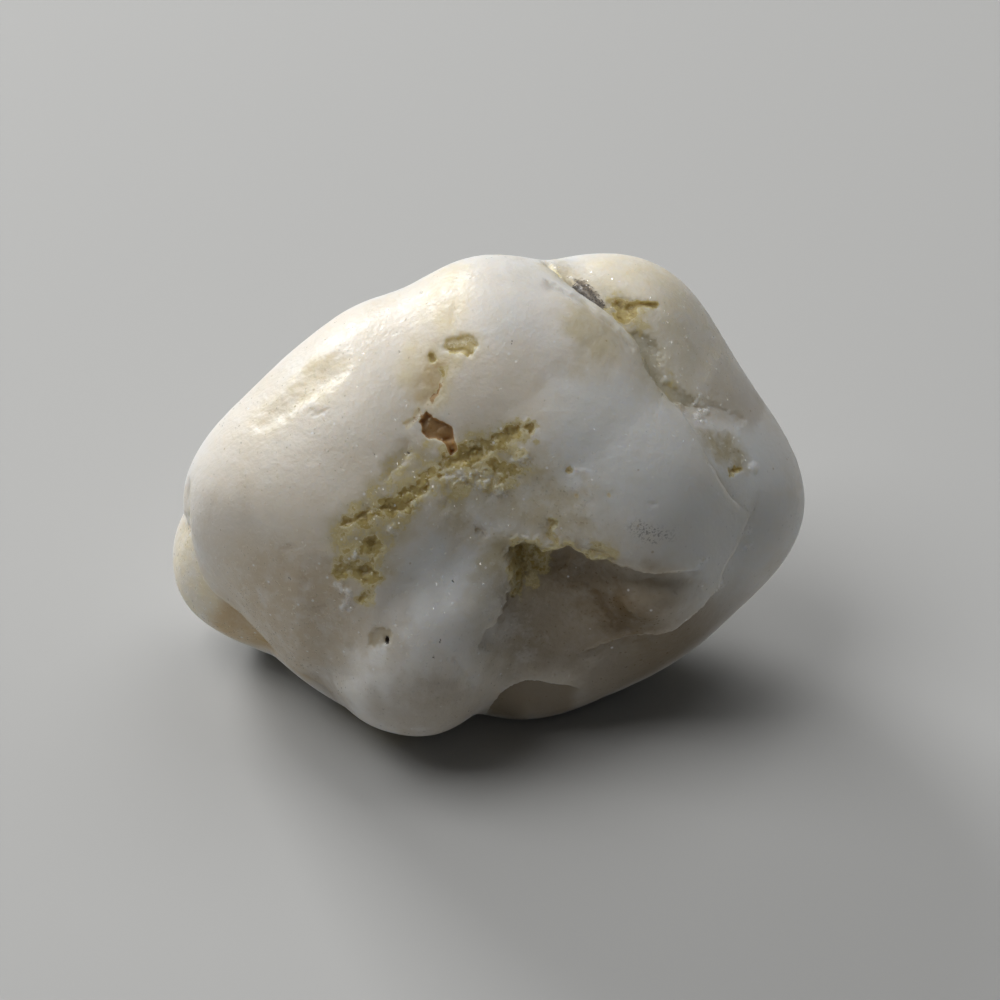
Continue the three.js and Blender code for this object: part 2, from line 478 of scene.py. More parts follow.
# A hooked seam comes down between the left block and the crown, and ends in the largest pit.
def carveHook():
    band = [(-3.4, 11.7), (-2.3, 11.9), (-1, 11.6), (-0.6, 10.6), (-0.9, 10), (-1.8, 10.2),
            (-2.4, 9.4), (-3, 8.2), (-3.4, 6.8), (-4, 5.8), (-5.4, 6), (-5.8, 7.6), (-4.9, 8.8),
            (-4.8, 10)]
    hollow(front, band, 0.06, rim=0.5, ragged=0.6, rough=0.03, spread=0.9, clear=0.2, cream=1)
    stain(front, (-5, 8.6), (2, 3.4), 10, cream=0.8)
    shade(front, [(-2.9, 10), (-3.3, 8.8), (-3.8, 7.2), (-4.3, 5.6)], 2.6, ragged=0.4, honey=0.42)
    shade(front, [(-1.2, 18), (-1.6, 15.6), (-2.3, 13.6), (-2.6, 11.6)], 4.5, ragged=0.5, cream=0.7)
    hollow(front, [(-3.2, 11.6), (-2.3, 11.8), (-1, 11.5), (-0.7, 10.6), (-1, 10),
                   (-1.9, 10.5), (-3.2, 10.6)], 0.16, rim=0.2, ragged=0.4, rough=0.06,
           spread=0.15, ochre=0.5)
    seam(front, [(-3.1, 10.7), (-2, 10.5), (-1.1, 10)], (0.3, 0.3), (0.12, 0.12),
         ragged=0.4, spread=0.2, ochre=0.7)
    pit(front, (-4.2, 9.9), (0.45, 0.4), 0.3, ragged=0.5, ochre=0.75)
    seam(front, [(-1.9, 17.5), (-2.4, 13.8), (-2.8, 11.4)], (0.6, 0.4), (0.04, 0.08), (0, 0.12),
         reach=1.5, spread=0.9, taper=0.3, cream=0.5)
    seam(front, [(-3.4, 9.6), (-3.6, 8.4), (-4, 7.2), (-4.4, 6)], (0.2, 0.2),
         (0.05, 0.1), (0.1, 0.2), reach=1.2, ragged=0.4, spread=0.3, ochre=0.45)
    stain(front, (-3.3, 12.5), (1, 3), 20, cream=0.8)
    hollow(front, [(-4.7, 5.8), (-3.9, 5.3), (-3, 4.6), (-2.6, 3.9), (-2.8, 3.2), (-4.2, 3.3),
                   (-4.8, 3.8), (-5.2, 4.9)], 0.4, rim=0.2, ragged=0.4, rough=0.06, spread=0.15,
           rust=0.95)
    seam(front, [(-4.6, 6), (-4, 7), (-3.5, 8.6)], (0.25, 0.15), (-0.08, 0), ragged=0.4,
         spread=0.25, taper=0.2, rust=0.5)
    seam(front, [(-3.3, 3.6), (-2.8, 3), (-2.4, 2.2)], (0.4, 0.25), (0.35, 0.3), ragged=0.3,
         spread=0.15, rust=0.9)
    seam(front, [(-4.9, 5.8), (-5.7, 5.1), (-6.5, 4.4)], (0.25, 0.2), (0.12, 0.1), ragged=0.5,
         spread=0.3, rust=0.4)
    stain(front, (-5.2, 7), (0.9, 1.4), 20, rust=0.16)


# The two ochre seams meet under the pit. Flakes have come off along them, and sugary crystals
# grow on their lower lips.
def carveOchreSeams():
    flakes = (
        [(-3.4, 2.6), (-1.4, 2.7), (0.4, 3.6), (1.8, 4.4), (3, 5.2), (3.9, 3.9), (2.4, 3),
         (1.2, 2.9), (-0.2, 1.6), (-1.6, 1), (-3.8, 1)],
        [(-4, 1.4), (-5.2, 0.8), (-5.6, -0.4), (-7.6, -0.9), (-8.4, -1.9), (-9.8, -2.7),
         (-11.2, -3), (-11.2, -3.7), (-9.9, -3.5), (-8.6, -2.9), (-7.6, -2.2), (-5.6, -2.2),
         (-5, -0.9), (-3.6, 0.3)],
        [(-9.9, -4.6), (-9, -4), (-8, -4.9), (-8.3, -5.8), (-9.6, -5.8)],
        [(-12, -6.2), (-10.6, -6), (-9, -6.4), (-8.7, -7.6), (-10.2, -7.8), (-11.9, -7.2)],
        [(-0.2, 1.2), (1.2, 1.8), (2.8, 1), (2.2, 0), (0.8, 0.2)],
        [(-9.8, -8.6), (-9, -8.2), (-9.2, -9.8), (-10, -9.4)],
    )
    for loop in flakes:
        hollow(front, loop, 0.12, rim=0.3, ragged=1.1, rough=0.14, spread=0.7, ochre=0.62,
               sugar=0.25)
    for core in ([(-3.4, 2), (-2, 1.7), (-0.2, 2.2)], [(1.4, 3.6), (2.4, 4)],
                 [(-7.2, -1.6), (-8.2, -2.4)], [(-8.8, -2.9), (-10.6, -3.4)],
                 [(-9.4, -4.6), (-8.6, -5.2)], [(-11.4, -6.8), (-9.6, -6.8), (-9.4, -7.4)]):
        seam(front, core, (0.6, 0.5), (0.16, 0.16), ragged=1.2, spread=0.6, taper=0.2, ochre=0.95)
    for path in ([(-3, 1.5), (-5, 0.4), (-7, -1.6), (-9.5, -3.6), (-10.5, -6.5)],
                 [(-4, 0.6), (-1, 1), (2, 2.6), (3.4, 3.4)]):
        seam(front, path, (2, 1.8), (0.05, 0.05), ragged=1.6, spread=1.8, taper=0.05, clear=0.9,
             ochre=0.34, olive=0.35, mottle=0.8)
    stain(front, (3, 3.4), (1.3, 0.8), 30, ragged=1.2, ochre=0.46)
    for crust in ([(-3.8, 0.4), (-2, 0.3), (-0.6, 0), (0.4, 0.6)],
                  [(0.2, -0.4), (1, -0.6), (1.6, -0.2)], [(-5.2, -1), (-6.4, -2.6)],
                  [(2.4, 1.6), (3.6, 2.6)]):
        seam(front, crust, (0.5, 0.4), (-0.12, -0.08), ragged=1, spread=0.5, sugar=0.8, chalk=0.5)
    for at in ((-11.8, -8.3), (-10.9, -8.9), (-11, -9.7), (-7.3, -3.8), (-10.4, -5.5)):
        pit(front, at, (0.5, 0.5), -0.1, ragged=0.7, sugar=0.9, chalk=0.5)
    stain(front, (-10, -5.8), (3.4, 2.6), 30, ragged=1.5, clear=0.7, mottle=1, cream=0.3)
    for at in ((-8.8, -5), (-10.2, -7)):
        stain(front, at, (0.9, 0.8), ragged=0.8, brown=0.45)
    seam(front, [(-6.1, 3.9), (-6, 2.4), (-6.5, 1.6), (-7.9, 0.1)], (0.2, 0.2), (0.05, 0.05),
         (0.15, 0.15), reach=1.6, ragged=0.35, clear=0.6)
    hollow(front, [(-6, 3.6), (-5.4, 2.8), (-3, 2.4), (-4, 1), (-6, 0.6), (-7.8, 0.4)], 0.08,
           rim=0.5, ragged=0.5, clear=0.8)


# The middle of the face is clearer quartz, with small chips.
def carveMiddle():
    hollow(front, [(-2.8, 0.6), (1.1, 0.9), (4.7, 0.1), (8.3, -1.4), (9.1, -4.6), (5.9, -5),
                   (1.9, -5), (-1.2, -4.6), (-3.6, -2.2)], 0.15, rim=1.6, ragged=1.8, spread=2.6,
           clear=0.65)
    stain(front, (1.6, 1.6), (4.4, 2.4), -20, ragged=1.4, clear=0.8, cream=0.3)
    stain(front, (4.4, -2.4), (3.2, 2.4), -20, ragged=1.4, clear=0.7, cream=0.5)
    seam(front, [(-0.9, -3.6), (-0.3, -3.7), (0.2, -4.4)], (0.3, 0.2), (0.2, 0.1), (0.3, 0.1),
         reach=1, ragged=0.05, spread=0.2, chalk=0.4)
    pit(front, (6.7, 1), (0.35, 0.3), 0.2, ragged=0.4, ochre=0.5)
    seam(front, [(6.9, 0.9), (7.8, 0.7), (8.6, 0.4)], (0.3, 0.2), (-0.1, 0), ragged=0.5,
         spread=0.3, chalk=0.7)
    for dot in ((7.1, -1.1), (9.7, -1)):
        pit(front, dot, (0.2, 0.24), 0.08, spread=1.3, ragged=0.1, rust=0.3)
    pit(front, (13.2, -1.6), (0.45, 0.3), 0.12, ragged=0.3, chalk=0.5)


# A brow hangs over the hollow at the lower right. Its edge is crumbly. The hollow and the band
# below the brow are painted smoky and brown as the brow's shade.
def carveBrow():
    brow = [(1.2, -5.7), (2.7, -5.1), (3.9, -5.1), (4.4, -5.6), (5.4, -5.5), (6.5, -5.3),
            (7.4, -5.6), (8.6, -6.3), (9.9, -6.3), (11.2, -6.7), (12.9, -7.3), (14.6, -7.3),
            (17.5, -6.7)]
    seam(front, brow, (0.25, 0.15), (0.25, 0), (2.2, 0.5), reach=4.5, ragged=0.35, spread=0.3,
         taper=0.06)
    seam(front, brow[:10], (0.3, 0.3), (0, 0), ragged=0.9, spread=0.9, cream=0.6, olive=0.7,
         ochre=0.42)
    seam(front, [(x, y - 0.9) for x, y in brow[2:11]], (0.9, 0.7), (0, 0), ragged=0.8, spread=1.4,
         taper=0.2, smoky=0.95)
    seam(front, [(x, y + 0.5) for x, y in brow[:9]], (0.3, 0.3), (-0.08, -0.08), ragged=0.9,
         spread=0.3, chalk=0.15, sugar=0.25)
    seam(front, [(8, -5.2), (9.4, -5.5), (10.4, -6.2)], (0.2, 0.2), (0.1, 0.1), (0.25, 0.15),
         reach=0.9, ragged=0.4, cream=0.6, ochre=0.4)
    seam(front, [(4.6, -3), (5.3, -3.1), (5, -4), (6, -4.9)], (0.25, 0.2), (0.2, 0.15),
         (0.25, 0.1), reach=1, ragged=0.4, spread=0.3, ochre=0.5, sugar=0.4)
    hollow(front, [(1.9, -5.4), (4.3, -5.3), (4.6, -6.2), (3.6, -6.8), (3.3, -8.9), (2.1, -9.2),
                   (2.4, -7)], 0.25, rim=0.5, rough=0.16, ragged=0.7, ochre=0.52)
    stain(front, (3.4, -7), (2, 2.6), -10, ragged=1.2, ochre=0.45)
    seam(front, [(-0.9, -13.4), (0, -11.9), (1.4, -10.1), (1.9, -8.1), (2.2, -6.9), (1.6, -5.2)],
         (0.5, 0.4), (0.1, 0.25), (0.4, 0.9), reach=2.6, ragged=0.5, spread=0.8, clear=0.9,
         cream=0.5, mottle=0.6)
    stain(front, (0.5, -8.6), (1.9, 4.8), -12, ragged=1.4, clear=0.9, olive=0.65, mottle=0.9)
    hollow(front, [(2, -6), (16, -7.4), (15, -9.5), (9, -11.5), (5, -13.5), (0.5, -12)], 0.1,
           rim=1.5, spread=1.5, ragged=1, clear=0.5, smoky=0.6)
    stain(front, (6.5, -7.6), (4.4, 1.8), -15, smoky=1, brown=0.5)
    stain(front, (2, -13), (3.4, 2.6), -15, ragged=1.4, clear=0.7, mottle=1)
    seam(front, [(8, -9.4), (9.6, -10.6), (11.4, -11.8), (13.6, -12.5)], (1.4, 1.6), (0.3, 0.2),
         ragged=0.8, spread=1, taper=0.3, smoky=1)
    stain(front, (10.8, -11.2), (3.6, 2.4), -35, ragged=1.4, brown=0.6)
    stain(front, (10.4, -11), (2.4, 1.4), -35, ragged=1.2, brown=1)
    stain(front, (9.4, -10.3), (1.6, 1), -25, ragged=1, brown=0.9)


# The lower shelf lies behind the cheek, and a notch parts it from the nose. Below the cheek edge
# and the notch, the shelf is painted smoky and brown as shade.
def carveShelf():
    cheekEdge = [(6.5, -14), (8.5, -13.6), (11.4, -13), (14.6, -12.3), (17, -10.9), (18.8, -8.8),
                 (19.7, -6.5), (20.8, -4.2), (21.6, -2), (22.4, 0.5)]
    seam(front, cheekEdge, (0.25, 0.2), (0.3, 0), (1.1, 0.2), reach=5, ragged=0.3, spread=0.2,
         taper=0.2, clear=0.3)
    shade(front, cheekEdge[:7], 7.5, ragged=0.3, fade=0.45, smoky=0.9, brown=0.5)
    stain(front, (12, -16), (6, 3), 20, ragged=1, smoky=0.8)
    for at in ((21.2, -3.9), (21.4, -5.3), (17, -6.2), (19.4, -8.4), (18.8, -8.8)):
        pit(front, at, (0.6, 0.3), -0.12, turn=30, ragged=0.5, chalk=0.7, sugar=0.6)
    notch = [(-0.8, -20), (1.2, -17.2), (3, -16.2), (4.6, -16.3), (8.5, -17)]
    seam(front, notch, (0.3, 0.25), (0.1, 0.05), (1.1, 0.4), reach=3, ragged=0.15, spread=0.2,
         taper=0.3)
    shade(front, notch, 4.5, smoky=0.9, brown=0.25)


# The nose is the lobe at the bottom. It is chalky, with one small dark pit and a few nicks.
def carveNose():
    hollow(front, [(-9.4, -12.2), (-8.7, -11.5), (-7.7, -11.7), (-7.4, -12.5), (-8.3, -13.1),
                   (-9.2, -13)], 0.16, rim=0.25, ragged=0.45, spread=0.2, clear=1, smoky=0.3)
    pit(front, (-7.9, -12.6), (0.22, 0.28), 0.6, speck=1)
    # The pale patch under the chip is a painted highlight.
    stain(front, (-8.5, -13.6), (0.9, 0.7), ragged=0.8, chalk=0.7)
    for path in ([(-5, -5.5), (-3.4, -8), (-3.2, -11)], [(-6.4, -9), (-5.4, -13), (-6, -17)],
                 [(-9.6, -15), (-7.5, -16.4)], [(-2, -9.5), (-3.4, -12.6)]):
        seam(front, path, (0.5, 0.7), (0, 0), ragged=1.6, spread=1, taper=0.4, chalk=0.45)
    stain(front, (-5, -8), (3, 3.6), -10, ragged=1.4, mottle=0.6)
    stain(front, (-1.6, -11), (3.4, 4.6), -20, ragged=1.4, chalk=0.6)
    stain(front, (-7.4, -11), (2, 4), -10, ragged=1.4, smoky=0.28)
    stain(front, (-5, -14), (5, 6), -10, ragged=1.4, mottle=0.6)
    # The low edge of the nose and the foot of the under-lobes are painted smoky as shade.
    stain(front, (-5, -18), (5, 2.6), -8, ragged=1.4, smoky=0.5)
    stain(front, (-13.6, -17.6), (3, 1.6), -30, ragged=1, smoky=0.7)
    for x, y in ((-2.2, -14.2), (-1.7, -15), (-1, -16)):
        seam(front, [(x - 0.5, y + 0.3), (x, y), (x + 0.1, y - 0.6)], (0.25, 0.15), (0.1, 0.1),
             (0.15, 0.1), reach=0.8, ragged=0.1, chalk=0.3)


# The left block ends in a crisp edge, with the under-lobes glowing behind it.
def carveLeftBlock():
    pit(front, (-13.2, 8.3), (3.4, 1.6), 0.45, turn=38, edge=1.6, ragged=0.4)
    pit(front, (-16.4, 5.6), (3.4, 1.1), 0.25, turn=30, edge=1.8, ragged=0.4)
    stain(front, (-13.4, 8.2), (3.4, 1.6), 36, cream=0.7)
    stain(front, (-17, 5.4), (3, 1.6), 30, cream=0.4)
    seam(front, [(-24.2, 1), (-24.3, -3.4), (-24, -6.4), (-23, -8.7), (-20.3, -10.9),
                 (-17.8, -13.5), (-15.6, -15.7), (-13.8, -16.8), (-12, -18)], (0.25, 0.3),
         (0.2, 0.3), (0.9, 0.9), reach=3, ragged=0.12, spread=0.2, taper=0.08, clear=0.5)
    edge = [(-24.3, -1), (-24.4, -4.5), (-23.8, -7.2), (-22.6, -9.3), (-20.3, -10.9),
            (-17.8, -13.5), (-15.6, -15.7), (-13.8, -16.8)]
    shade(front, edge[:6], 6, ragged=0.1, cream=0.85, chalk=0.2, mottle=0.7)
    shade(front, edge[3:], 5, ragged=0.1, honey=1)
    seam(front, [(-25.8, -2.2), (-24.6, -3)], (0.5, 0.4), (0.3, 0.3), ragged=0.1, taper=0.2,
         spread=0.1, cream=0.5)
    for at, size, turn in (((-13.3, 5.6), (1.2, 0.3), 25), ((-15.8, -5.1), (0.8, 0.5), 10),
                           ((-14.6, -8), (0.5, 0.7), 60), ((-13.4, -10.2), (0.6, 0.4), 20),
                           ((-10.8, -13.6), (0.7, 0.5), -30)):
        pit(front, at, size, 0.12, turn=turn, ragged=0.6)


# Small dark specks, and a cluster of grey ones on the right cheek.
def carveSpecks():
    stain(front, (13.3, -3.6), (2.2, 0.6), -8, ragged=1.3, speck=0.24)
    stain(front, (12.9, -4.5), (0.7, 0.3), -8, ragged=1, speck=0.24)
    for at in ((-9, 2.3), (-6.1, 2.4), (2, 11), (-6.9, 10.4), (-3.7, -12.7), (-4.3, -13.9),
               (-2.7, -7.8), (-15.6, -7.6), (14, 7)):
        pit(front, at, (0.1, 0.18), 0.05, ragged=0.2, spread=1.1, speck=0.6)


# The back: a long healed seam crosses it, with a branch, some flakes and worn chips.
def carveBack():
    across = [(-21, 1), (-15, 4.6), (-10, 4.9), (-5, 3), (1, 4.4), (6, 4), (10, 1.4), (15, 2.2),
              (20, -3)]
    branch = [(-5, 3), (-6.6, 0.6), (-6, -2.4), (-7.4, -5), (-7, -9)]
    for path, width in ((across, (0.5, 0.25)), (branch, (0.4, 0.2))):
        seam(back, path, width, (0.15, 0.05), (0.3, 0.15), reach=3.5, ragged=0.8, spread=1.2,
             taper=0.3, clear=0.8, cream=0.4)
        seam(back, path[1:-1], (0.9, 0.5), (0, 0), ragged=1.4, spread=1.4, taper=0.3, ochre=0.4,
             mottle=0.6)
    for loop in ([(-11, 5.6), (-8, 5), (-6, 4.6), (-3, 3.9), (-0.6, 4.2), (-2, 2.4), (-5, 1.6),
                  (-8, 3.4)],
                 [(-6.4, 1.2), (-5.4, -1), (-5.4, -3), (-6.8, -2.4), (-7.4, 0)],
                 [(8.6, 3), (11, 2.6), (12.4, 1), (10, 0.4)]):
        hollow(back, loop, 0.12, rim=0.3, ragged=1.3, rough=0.12, spread=0.7, ochre=0.6,
               sugar=0.3)
    seam(back, [(-8, 4.4), (-6, 3.8), (-4.4, 2.8)], (0.5, 0.4), (0.2, 0.2), ragged=1.2,
         spread=0.5, ochre=0.95)
    for crust in ([(-3.4, 1.6), (-1.4, 2.6), (0.4, 3)], [(-5, -3.6), (-5.6, -5)]):
        seam(back, crust, (0.6, 0.4), (-0.12, -0.08), ragged=1, spread=0.5, sugar=0.8, chalk=0.5)
    for at, size, turn in (((-15, -5), (3, 2), 30), ((8, -6), (3.6, 2.2), -20),
                           ((16, 8), (2.4, 1.6), -40), ((-2, 12), (3, 1.4), 10)):
        pit(back, at, size, 0.3, turn=turn, edge=1.2, ragged=0.3)
    for at, size, turn in (((-6, 4), (9, 6), 0), ((12, -6), (8, 6), 20), ((3, 13), (9, 4), 0)):
        stain(back, at, size, turn, ragged=1.6, warm=1, mottle=0.6)
    stain(back, (-14, 9), (7, 5), 30, ragged=1.6, cool=1)
    stain(back, (-5, -4), (8, 6), 20, ragged=1.6, clear=0.6, mottle=0.9)
    stain(back, (6, -10), (12, 5), 0, ragged=1.6, smoky=0.3)


# Each end has a healed seam, a worn scoop and an ochre chip.
def carveEnds():
    seam(leftEnd, [(-9, 8), (-4, 5), (1, 6), (8, 2)], (0.4, 0.3), (0.2, 0.1), (0.4, 0.3), reach=3,
         ragged=0.5, spread=0.6, clear=0.5, cream=0.4)
    pit(leftEnd, (-3, 0), (2.2, 1.5), 0.3, turn=25, edge=1.2, ragged=0.3)
    pit(leftEnd, (6, 7), (1.4, 0.7), 0.2, turn=-20, ragged=1.2, ochre=0.55, sugar=0.5)
    seam(rightEnd, [(-8, 9), (-3, 6.5), (3, 7.4), (8, 3)], (0.4, 0.3), (0.2, 0.1), (0.4, 0.25),
         reach=3, ragged=0.5, spread=0.6, clear=0.5)
    hollow(rightEnd, [(1, -2), (2.4, -1), (5, -2), (4, -3.6), (2, -3)], 0.15, rim=0.3,
           ragged=1.2, rough=0.12, ochre=0.5, sugar=0.4)
    pit(rightEnd, (-3, -4), (2.6, 1.6), 0.25, turn=-25, edge=1.2, ragged=0.3)
    stain(rightEnd, (4, -4), (5, 4), 0, ragged=1.5, warm=1, clear=0.4)


# The top has a fine seam, three worn scoops and an ochre pit.
def carveTop():
    seam(top, [(-16, -2), (-9, 2), (-3, 1), (2, 4)], (0.35, 0.3), (0.15, 0.1), (0.3, 0.2),
         ragged=0.5, spread=0.6, clear=0.4, cream=0.3)
    for at, size, turn in (((-10, 7), (2.4, 1.5), 20), ((5, 9), (2, 1.2), -30),
                           ((14, 4), (1.6, 1), 40)):
        pit(top, at, size, 0.25, turn=turn, edge=1.2, ragged=0.3)
    pit(top, (-4, 7), (0.8, 0.6), 0.4, ragged=0.6, ochre=0.8)


# The underside is bruised and iron-stained round the small flat that it rests on.
def carveUnderside():
    for at, size, turn in (((-10, 4), (4, 2.6), 20), ((14, 2), (3.6, 2), -30),
                           ((4, 11), (4, 2), 0)):
        stain(underside, at, size, turn, ragged=1.6, smoky=0.6, ochre=0.3, mottle=0.6)
    for at, size in (((-11, 2), (1.2, 0.8)), ((-8, 6), (0.8, 0.6)), ((12, 4), (1, 0.7)),
                     ((16, -2), (0.9, 0.6)), ((-15, -3), (1, 0.8))):
        pit(underside, at, size, 0.45, turn=15, ragged=0.8, ochre=0.8, sugar=0.6)
    seam(underside, [(-18, 0), (-12, -3), (-6, -2), (-1, 4)], (0.4, 0.3), (0.25, 0.15),
         (0.3, 0.2), ragged=0.6, spread=0.7, clear=0.5, ochre=0.25)


for carve in (shapeFace, carveCrack, carveRearCap, carveHook, carveOchreSeams, carveMiddle,
              carveBrow, carveShelf, carveNose, carveLeftBlock, carveSpecks, carveBack, carveEnds,
              carveTop, carveUnderside):
    carve()
print("features carved")


# The small relief: crystal grains in the sugary places, and gentle wear all over.
relief = {
    "grainSize": 0.6, "grainHeight": 0.25,
    "waveSize": 5, "waveHeight": 0.14,
    "pebblingSize": 1.4, "pebblingHeight": 0.02,
}


def growSugar():
    chosen = np.flatnonzero(marks["sugar"] > 0.02)
    height = relief["grainHeight"] * marks["sugar"][chosen]
    lift[chosen] += facets(skinPlaces[chosen], relief["grainSize"], seeds["sugar"]) * height


def wearSurface():
    waves = lumps(skinPlaces, relief["waveSize"], seeds["wave"])
    pebbling = layeredLumps(skinPlaces, relief["pebblingSize"], seeds["pebbling"], 2)
    lift[:] += waves * relief["waveHeight"]
    lift[:] += pebbling * relief["pebblingHeight"]


growSugar()
wearSurface()


# Puts the relief and the marks on the mesh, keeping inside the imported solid's box, and thins
# the mesh out where it is smooth.
def settleSkin():
    places = (skinPlaces + skinNormals * lift[:, None]) * mm + np.array(middle)
    places = np.clip(places, np.array(cadBox[0]), np.array(cadBox[1]))
    mesh = pebble.data
    mesh.vertices.foreach_set("co", places.astype(np.float32).ravel())
    for name, amount in marks.items():
        layer = mesh.attributes.new(name, "FLOAT", "POINT")
        layer.data.foreach_set("value", np.clip(amount, 0, 1).astype(np.float32))
    mesh.update()
    thinner = pebble.modifiers.new("thinner", "DECIMATE")
    thinner.ratio = skinDetail["triangles"] / (2 * len(mesh.polygons))
    applyModifiers(pebble)
    pebble.data.shade_smooth()


settleSkin()
print("skin settled:", len(pebble.data.vertices), "points,", len(pebble.data.polygons), "faces")


milkyQuartz = {
    "milk": (0.80, 0.77, 0.72), "warm": (0.82, 0.74, 0.61), "cool": (0.77, 0.79, 0.79),
    "clear": (0.62, 0.55, 0.40), "cream": (0.80, 0.71, 0.50), "honey": (0.62, 0.44, 0.19),
    # The smoky colour is a tint of the quartz, and is also painted as shade in hollows and low
    # places.
    "smoky": (0.38, 0.31, 0.22), "rim": (0.80, 0.73, 0.53), "tan": (0.66, 0.56, 0.27),
    "ochre": (0.52, 0.40, 0.13), "umber": (0.33, 0.23, 0.06), "rust": (0.44, 0.22, 0.05),
    # The brown colour is in real stains, and is also painted as shade in the crack, under the brow
    # and on the shelf.
    "brown": (0.20, 0.13, 0.05), "olive": (0.50, 0.44, 0.28),
    # The speck colour also paints the shadow in the crack's gap, and the chalk colour also paints
    # sparkle flecks and a highlight.
    "speck": (0.08, 0.07, 0.06), "chalk": (0.88, 0.88, 0.87),
    "glow": (1.9, 1.7, 1.4),  # how far red, green and blue light spread inside, in millimetres
    "roughness": (0.36, 0.54), "glintRoughness": 0.3,  # a glint has this share of the roughness
    "bump": 0.055,  # the depth of the fine grain, in millimetres
    "fleckSize": 0.6, "glintSize": 0.14,
    "glints": 0.005,  # the share of the tiny faces that shine
    "refraction": 1.54,
}

# The soft tints that the marks bring in, one over the other, and how strong each is. The smoky and
# brown ones are also painted shade.
tints = {"warm": 0.6, "cool": 0.6, "cream": 0.9, "clear": 0.85, "olive": 0.9, "smoky": 0.9,
         "brown": 0.9, "honey": 1, "chalk": 0.8}

# How wide the patches of each kind are, in millimetres.
patches = {"haze": 8, "clear": 3.5, "tints": 1.6, "veins": 1.3, "stains": 1.1, "specks": 0.17,
           "wear": 0.9, "grain": 0.35, "swell": 1.1}

# A mineral stain comes in layers with crisp, crinkled edges: the colour, the mark at which it
# starts and the one at which it is full, and its strength.
crusts = {
    "ochre": {"crinkle": 1.7, "layers": (
        ("tan", 0.05, 0.6, 0.6), ("tan", 0.26, 0.36, 0.6), ("rim", 0.42, 0.46, 0.5),
        ("ochre", 0.48, 0.6, 0.85), ("umber", 0.85, 1.1, 0.8))},
    "rust": {"crinkle": 1.2, "layers": (
        ("cream", 0.12, 0.3, 0.8), ("rust", 0.36, 0.5, 0.85), ("brown", 0.7, 1.3, 0.5))},
}


quartz = bpy.data.materials.new("milky quartz")
quartz.use_nodes = True
nodes = quartz.node_tree.nodes
shader = nodes["Principled BSDF"]


def link(source, target):
    quartz.node_tree.links.new(source, target)


# The outputs of a new shader node, with each input linked to a socket or given a value. _0
# means the first input.
def addNode(kind, settings=None, **inputs):
    made = nodes.new(kind)
    for name, value in (settings or {}).items():
        setattr(made, name, value)
    for name, value in inputs.items():
        socket = made.inputs[int(name[1:])] if name[0] == "_" else made.inputs[name]
        if isinstance(value, bpy.types.NodeSocket):
            link(value, socket)
        else:
            socket.default_value = value
    return made.outputs


place = addNode("ShaderNodeTexCoord")["Object"]


def cloud(kind, detail=3, **more):
    size = patches[kind] * mm
    return addNode("ShaderNodeTexNoise", Vector=place, Scale=1 / size, Detail=detail,
                   **more)["Fac"]


def cells(size):
    return addNode("ShaderNodeTexVoronoi", Vector=place, Scale=1 / (size * mm))


# From 0 to 1, smoothly, as the value goes from low to high.
def ramp(value, low, high):
    settings = {"interpolation_type": "SMOOTHSTEP"}
    return addNode("ShaderNodeMapRange", settings, _0=value, _1=low, _2=high)["Result"]


# From one end to the other, as the value goes from low to high.
def between(value, ends, low=0, high=1):
    return addNode("ShaderNodeMapRange", _0=value, _1=low, _2=high, _3=ends[0],
                   _4=ends[1])["Result"]


# Arithmetic on two numbers, and on two vectors.
def combine(operation, a, b):
    return addNode("ShaderNodeMath", {"operation": operation}, _0=a, _1=b)[0]


def multiply(a, b):
    return combine("MULTIPLY", a, b)


def add(a, b):
    return combine("ADD", a, b)


def larger(a, b):
    return combine("MAXIMUM", a, b)


def vectors(operation, a, b):
    return addNode("ShaderNodeVectorMath", {"operation": operation}, _0=a, _1=b)


def firstPart(colour):
    return addNode("ShaderNodeSeparateColor", _0=colour)[0]


def markOf(name):
    return addNode("ShaderNodeAttribute", {"attribute_name": name})["Fac"]


# A colour from milkyQuartz, by its name, laid over another one.
def cover(amount, under, over):
    top = (*milkyQuartz[over], 1)
    return addNode("ShaderNodeMix", {"data_type": "RGBA"}, _0=amount, _6=under, _7=top)[2]


# The quartz itself has a cooler haze, clearer patches, the soft tints and pale veins.
def quartzColour():
    milk = (*milkyQuartz["milk"], 1)
    colour = cover(multiply(ramp(cloud("haze"), 0.35, 0.7), 0.6), milk, "cool")
    colour = cover(multiply(ramp(cloud("clear", 6), 0.45, 0.75), 0.35), colour, "clear")
    patchy = add(ramp(cloud("tints", 5), 0.3, 0.7), 0.5)
    for name, strength in tints.items():
        amount = markOf(name)
        if name in ("clear", "cream"):
            amount = multiply(amount, patchy)
        colour = cover(multiply(amount, strength), colour, name)
    veins = ramp(cloud("veins", 7, Roughness=0.6), 0.42, 0.75)
    return cover(multiply(multiply(veins, markOf("mottle")), 0.42), colour, "chalk")


def stained(colour):
    for name, crust in crusts.items():
        uneven = add(cloud("stains", 8, Roughness=0.68), -0.5)
        crinkled = multiply(uneven, crust["crinkle"])
        reached = add(markOf(name), multiply(crinkled, ramp(markOf(name), 0, 0.3)))
        for layer, low, high, strength in crust["layers"]:
            colour = cover(multiply(ramp(reached, low, high), strength), colour, layer)
    return colour


# The specks are dots where their mark is weak, and solid where it is strong. The solid colour in
# the crack's gap is painted shadow.
def specked(colour):
    dots = multiply(ramp(cloud("specks"), 0.5, 0.6), ramp(markOf("speck"), 0, 0.45))
    solid = ramp(markOf("speck"), 0.5, 0.7)
    return cover(multiply(larger(dots, solid), 0.95), colour, "speck")


